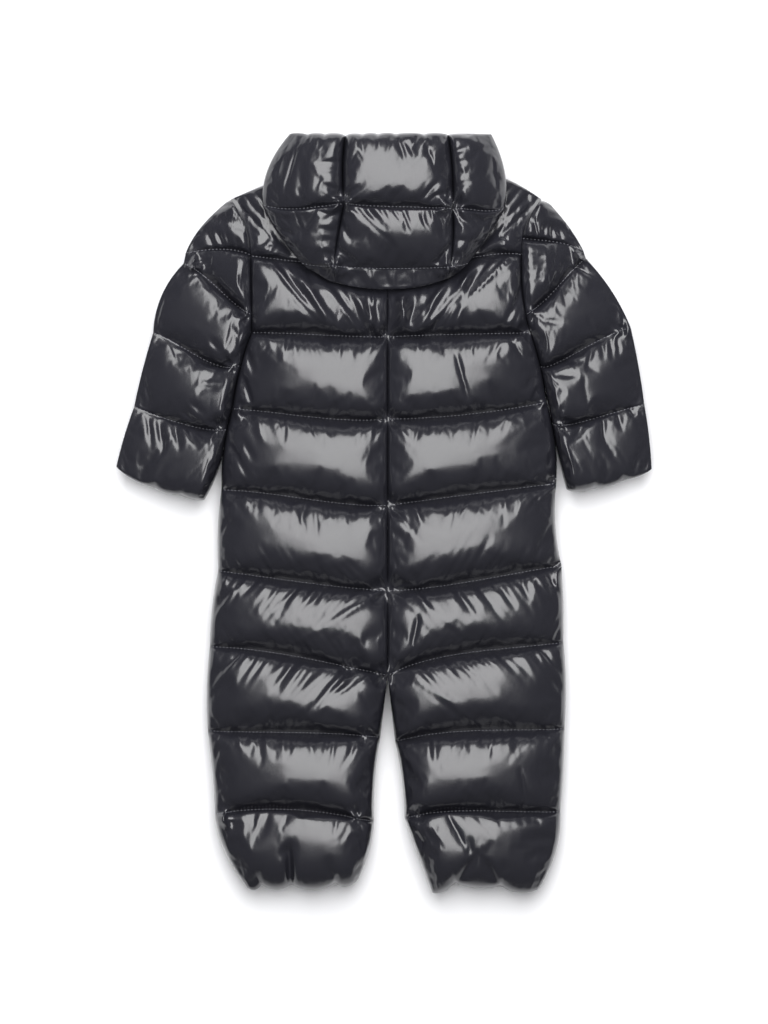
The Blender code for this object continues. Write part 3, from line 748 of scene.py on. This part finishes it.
lowerLevel, upperLevel = suit["middle"] - suit["seamGap"] / 2, suit["middle"] + suit["seamGap"] / 2
hoodLevel = upperLevel + suit["pressed"] + suit["hoodUnder"] + 2 * suit["seamGap"]
bodyGrid, fineGrid, coarseGrid = (2.1, 2.9), (1.6, 2.2), (4.0, 4.6)

pieces, stitchPaths = [], []
for body, sleeve in ((backLeft, sleeveLeft), (backRight, sleeveRight)):
    outerSide = panelNet(body, bodyGrid)[0][:, -1]
    for spec, beside, spacing in ((body, None, bodyGrid), (sleeve, outerSide, fineGrid)):
        underHood = spec is body
        piece, paths = paddedPanel(spec, nylon, spacing, upperLevel, beside=beside, underHood=underHood)
        pieces.append((piece, spec["node"]))
        stitchPaths += paths
        piece, paths = paddedPanel(spec, nylon, coarseGrid, lowerLevel, facing=-1, beside=beside)
        pieces.append((piece, spec["node"].replace("back", "front")))
        stitchPaths += paths
for spec in (hoodCentre, hoodLeft, hoodRight):
    piece, paths = paddedPanel(spec, nylon, fineGrid, hoodLevel)
    pieces.append((piece, spec["node"]))
    stitchPaths += paths


def hiddenHood(finish):
    # The solid's own form, a little smaller, blown up as a cushion is.
    cushion = {"weld": 0.05, "voxel": 4.0, "inset": 1.2, "pressure": 4.0, "cap": 1.4}
    item = bpy.data.objects.new("hoodUnderLayers", bpy.data.objects["hood_under"].data.copy())
    bpy.context.scene.collection.objects.link(item)
    bm = bmesh.new()
    bm.from_mesh(item.data)
    bmesh.ops.remove_doubles(bm, verts=bm.verts, dist=cushion["weld"] * mm)
    bm.to_mesh(item.data)
    bm.free()
    item.data.materials.clear()
    low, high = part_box("hood_under")
    remesh = item.modifiers.new("remesh", "REMESH")
    remesh.mode, remesh.voxel_size = "VOXEL", cushion["voxel"] * mm
    mesh = bpy.data.meshes.new_from_object(item.evaluated_get(bpy.context.evaluated_depsgraph_get()))
    item.modifiers.remove(remesh)
    item.data = mesh
    start = np.empty(len(mesh.vertices) * 3, np.float32)
    mesh.vertices.foreach_get("co", start)
    normals = np.empty(len(mesh.vertices) * 3, np.float32)
    mesh.vertices.foreach_get("normal", normals)
    start = (start - cushion["inset"] * mm * normals).reshape(-1, 3).astype(float)
    mesh.vertices.foreach_set("co", start.reshape(-1).astype(np.float32))
    mesh.update()
    points = start
    moved = settled(item, np.zeros(len(start), bool), cushion["pressure"]) - start
    points = start + capped(moved, cushion["cap"])
    points = np.clip(points, np.array(low), np.array(high))
    mesh.vertices.foreach_set("co", points.reshape(-1).astype(np.float32))
    mesh.update()
    smoothing = item.modifiers.new("smooth", "SUBSURF")
    smoothing.levels = smoothing.render_levels = 1
    item.data = bpy.data.meshes.new_from_object(item.evaluated_get(bpy.context.evaluated_depsgraph_get()))
    item.modifiers.remove(smoothing)
    item.vertex_groups.clear()
    item.data.shade_smooth()
    item.data.materials.append(finish)
    print("hoodUnderLayers", len(item.data.polygons), "faces")
    return item


pieces.append((hiddenHood(nylon), "hood_under"))

for piece, node in pieces:
    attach(piece, "root")
    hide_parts(node)

# Sewing.

def repeatTree(name, sizes, finish, threads):
    # Equal shapes at even steps along a path: threads that turn with it, or upright blocks. Sizes are
    # the names of the inputs for the shape's length, width and height.
    tree = bpy.data.node_groups.new(name, "GeometryNodeTree")
    interface = tree.interface
    interface.new_socket("Geometry", in_out="INPUT", socket_type="NodeSocketGeometry")
    for size in ("Pitch", *dict.fromkeys(sizes)):
        interface.new_socket(size, in_out="INPUT", socket_type="NodeSocketFloat")
    interface.new_socket("Geometry", in_out="OUTPUT", socket_type="NodeSocketGeometry")
    given = addNode(tree, "NodeGroupInput")
    path = addNode(tree, "GeometryNodeMeshToCurve", {}, {}, {"Mesh": given.outputs["Geometry"]})
    steps = addNode(
        tree, "GeometryNodeResampleCurve", {"mode": "LENGTH"}, {},
        {"Curve": path.outputs["Curve"], "Length": given.outputs["Pitch"]},
    )
    extent = addNode(
        tree, "ShaderNodeCombineXYZ", {}, {},
        {axis: given.outputs[size] for axis, size in zip("XYZ", sizes)},
    )
    if threads:
        tangent = addNode(tree, "GeometryNodeInputTangent")
        turn = addNode(
            tree, "FunctionNodeAlignRotationToVector", {"axis": "X"}, {},
            {"Vector": tangent.outputs["Tangent"]},
        )
        shape = addNode(tree, "GeometryNodeMeshUVSphere", {}, {"Segments": 6, "Rings": 4, "Radius": 0.5})
        turned = {"Rotation": turn.outputs["Rotation"], "Scale": extent.outputs["Vector"]}
    else:
        shape = addNode(tree, "GeometryNodeMeshCube", {}, {}, {"Size": extent.outputs["Vector"]})
        turned = {}
    placed = addNode(
        tree, "GeometryNodeInstanceOnPoints", {}, {},
        {"Points": steps.outputs["Curve"], "Instance": shape.outputs["Mesh"], **turned},
    )
    real = addNode(tree, "GeometryNodeRealizeInstances", {}, {}, {"Geometry": placed.outputs["Instances"]})
    coloured = addNode(
        tree, "GeometryNodeSetMaterial", {}, {"Material": finish}, {"Geometry": real.outputs["Geometry"]}
    )
    addNode(tree, "NodeGroupOutput", {}, {}, {"Geometry": coloured.outputs["Geometry"]})
    return tree


def grown(item, tree, values):
    # Turns an object with a Geometry Nodes tree into its plain mesh.
    modifier = item.modifiers.new("repeat", "NODES")
    modifier.node_group = tree
    for entry in tree.interface.items_tree:
        if entry.item_type == "SOCKET" and entry.in_out == "INPUT" and entry.name in values:
            modifier[entry.identifier] = values[entry.name]
    mesh = bpy.data.meshes.new_from_object(item.evaluated_get(bpy.context.evaluated_depsgraph_get()))
    item.modifiers.remove(modifier)
    item.data = mesh
    mesh.shade_smooth()
    return item


def quiltStitching():
    # Stitches lie end to end in the quilt lines. The thread is drawn 0.7 mm wide and is really 0.4.
    sizes = {"Pitch": 3.4 * mm, "Stitch Length": 2.0 * mm, "Thread Width": 0.7 * mm}
    points, edges = [], []
    for path in stitchPaths:
        first = len(points)
        points += path
        edges += [(first + i, first + i + 1) for i in range(len(path) - 1)]
    # The stitches take the thread's light grey colour, a painted highlight on near black thread.
    tree = repeatTree("quiltStitching", ("Stitch Length", "Thread Width", "Thread Width"), glintPaintedThread, True)
    item = grown(meshObject("quiltStitching", points, edges=edges), tree, sizes)
    print("stitching", len(item.data.polygons), "faces")
    return item


stitching = quiltStitching()
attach(stitching, "root")


def prism(bm, outline, low, high):
    # A plate with this outline between two heights.
    rings = [[bm.verts.new((x, y, z)) for x, y in outline] for z in (low, high)]
    bm.faces.new(rings[0][::-1])
    bm.faces.new(rings[1])
    for index in range(len(outline)):
        after = (index + 1) % len(outline)
        bm.faces.new((rings[0][index], rings[0][after], rings[1][after], rings[1][index]))


def platesObject(name, plates, finish, bevel):
    sharpFrom = 40  # degrees
    bm = bmesh.new()
    for outline, low, high in plates:
        prism(bm, [(x * mm, y * mm) for x, y in outline], low * mm, high * mm)
    bmesh.ops.recalc_face_normals(bm, faces=bm.faces)
    item = meshObject(name, [], [])
    bm.to_mesh(item.data)
    bm.free()
    rounding = item.modifiers.new("edges", "BEVEL")
    rounding.width, rounding.segments, rounding.limit_method = bevel * mm, 2, "ANGLE"
    item.data.materials.append(finish)
    item.data.shade_smooth()
    item.data.set_sharp_from_angle(angle=math.radians(sharpFrom))
    return item


def zipTapes(low, high):
    # Two tapes with a cord along each inner edge.
    shape = {
        "halfWidth": 4.0, "thickness": 1.2, "cordWidth": 1.1, "cordThickness": 2.2, "lap": 0.02, "gap": 0.3,
        "rounding": 0.2,
    }
    middle, plates = (low.x + high.x) / 2, []
    for way in (-1, 1):
        near = middle + way * shape["gap"] / 2
        for width, top, thickness in (
            (shape["halfWidth"] - shape["gap"] / 2, high.z, shape["thickness"]),
            (shape["cordWidth"], high.z - shape["thickness"] + shape["lap"], shape["cordThickness"]),
        ):
            left, right = sorted((near, near + way * width))
            outline = ((left, low.y), (right, low.y), (right, high.y), (left, high.y))
            plates.append((outline, top - thickness, top))
    return platesObject("zipTape", plates, zipTape, shape["rounding"])


def zipTeeth(low, high):
    # Two rows of teeth, half a pitch apart, that reach past each other.
    shape = {"pitch": 2.0, "width": 2.5, "length": 0.9, "height": 2.0, "rowShift": 0.45}
    middle, level = (low.x + high.x) / 2, low.z + shape["height"] / 2
    points, edges = [], []
    for way, start in ((-1, 1.0), (1, 1.5)):
        x = middle + way * shape["rowShift"]
        first = low.y + shape["pitch"] * start
        edges.append((len(points), len(points) + 1))
        points += [(x * mm, first * mm, level * mm), (x * mm, (high.y - shape["pitch"]) * mm, level * mm)]
    sizes = {
        "Pitch": shape["pitch"] * mm, "Tooth Width": shape["width"] * mm,
        "Tooth Length": shape["length"] * mm, "Tooth Height": shape["height"] * mm,
    }
    tree = repeatTree("zipTeeth", ("Tooth Width", "Tooth Length", "Tooth Height"), enamel, False)
    item = grown(meshObject("zipTeeth", points, edges=edges), tree, sizes)
    item.data.shade_flat()
    print("zip", len(item.data.polygons), "faces of teeth")
    return item


def zipSlider(low, high):
    # An upper and a lower shield with a wedge between them, and the bridge that a pull would hang on.
    centre, reach, length = (low.x + high.x) / 2, (high.x - low.x) / 2, high.y - low.y

    def outline(half, shares):
        # From shares of this half width across and of the slider's length along.
        return [(centre + half * across, low.y + length * along) for across, along in shares]

    def bar(near, far):
        return outline(1.0, ((-1.0, near), (1.0, near), (1.0, far), (-1.0, far)))

    shield = outline(reach, (
        (-0.62, 0.0), (0.62, 0.0), (0.66, 0.35), (1.0, 0.62), (1.0, 0.88), (0.72, 1.0), (0.28, 0.9),
        (0.0, 0.82), (-0.28, 0.9), (-0.72, 1.0), (-1.0, 0.88), (-1.0, 0.62), (-0.66, 0.35),
    ))
    wedge = outline(1.0, ((-0.7, 0.5), (0.7, 0.5), (0.9, 0.76), (-0.9, 0.76)))
    plates = (
        (shield, high.z - 1.0, high.z),
        (wedge, high.z - 1.6, high.z - 0.9),
        (shield, high.z - 2.5, high.z - 1.5),
        (bar(0.12, 0.26), low.z + 0.5, high.z - 2.4),  # the bridge's two feet
        (bar(0.66, 0.8), low.z + 0.5, high.z - 2.4),
        (bar(0.12, 0.8), low.z, low.z + 0.7),
    )
    return platesObject("zipSlider", plates, enamel, 0.25)


zipBox = [Vector(corner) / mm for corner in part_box("front_zip")]
sliderBox = [Vector(corner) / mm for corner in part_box("zip_slider")]
for piece, node, finishSlot in (
    (zipTapes(*zipBox), "front_zip", "zip_tape"),
    (zipTeeth(*zipBox), None, "zip_metal"),
    (zipSlider(*sliderBox), "zip_slider", "zip_metal"),
):
    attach(piece, "root")
    if node:
        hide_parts(node)

# Floor, light and camera.

def studio():
    floorShape = {"half": 3.0, "level": -0.0005, "color": "#f6f6f8", "roughness": 0.9}
    half = floorShape["half"]
    corners = [(x * half, y * half, floorShape["level"]) for x, y in ((-1, -1), (1, -1), (1, 1), (-1, 1))]
    floor = meshObject("paperFloor", corners, [(0, 1, 2, 3)])
    floor.data.materials.append(plainMaterial("paperWhite", floorShape["color"], floorShape["roughness"]))
    soft = {"width": 2.3, "length": 5.2, "place": (0, 1.7, 2.6), "energy": 196}
    lamp = bpy.data.lights.new("softBox", "AREA")
    lamp.shape = "ELLIPSE"
    lamp.size, lamp.size_y = soft["width"], soft["length"]
    lamp.energy = soft["energy"]
    box = bpy.data.objects.new("softBox", lamp)
    box.location = soft["place"]
    bpy.context.scene.collection.objects.link(box)
    room = {"color": "#f2f3f6", "strength": 0.11}
    world = bpy.data.worlds.new("paleRoom")
    world.use_nodes = True
    background = world.node_tree.nodes["Background"]
    background.inputs["Color"].default_value = hexColor(room["color"])
    background.inputs["Strength"].default_value = room["strength"]
    bpy.context.scene.world = world
    print("floor and light")


def photoCamera():
    # Distances in metres. The picture's long side takes in 1024 pixels of 0.95 mm each.
    lens = {"distance": 5.0, "frameHeight": 1024 * 0.95 * mm, "sensor": 36.0, "aim": 0.03}
    data = bpy.data.cameras.new("camera")
    data.sensor_fit = "AUTO"
    data.sensor_width = lens["sensor"]
    data.lens = lens["sensor"] * lens["distance"] / lens["frameHeight"]
    data.clip_end = 20
    camera = bpy.data.objects.new("camera", data)
    camera.location = (0, 0, lens["distance"] + lens["aim"])
    bpy.context.scene.collection.objects.link(camera)
    bpy.context.scene.camera = camera


studio()
photoCamera()
bpy.context.scene.view_settings.view_transform = "Standard"
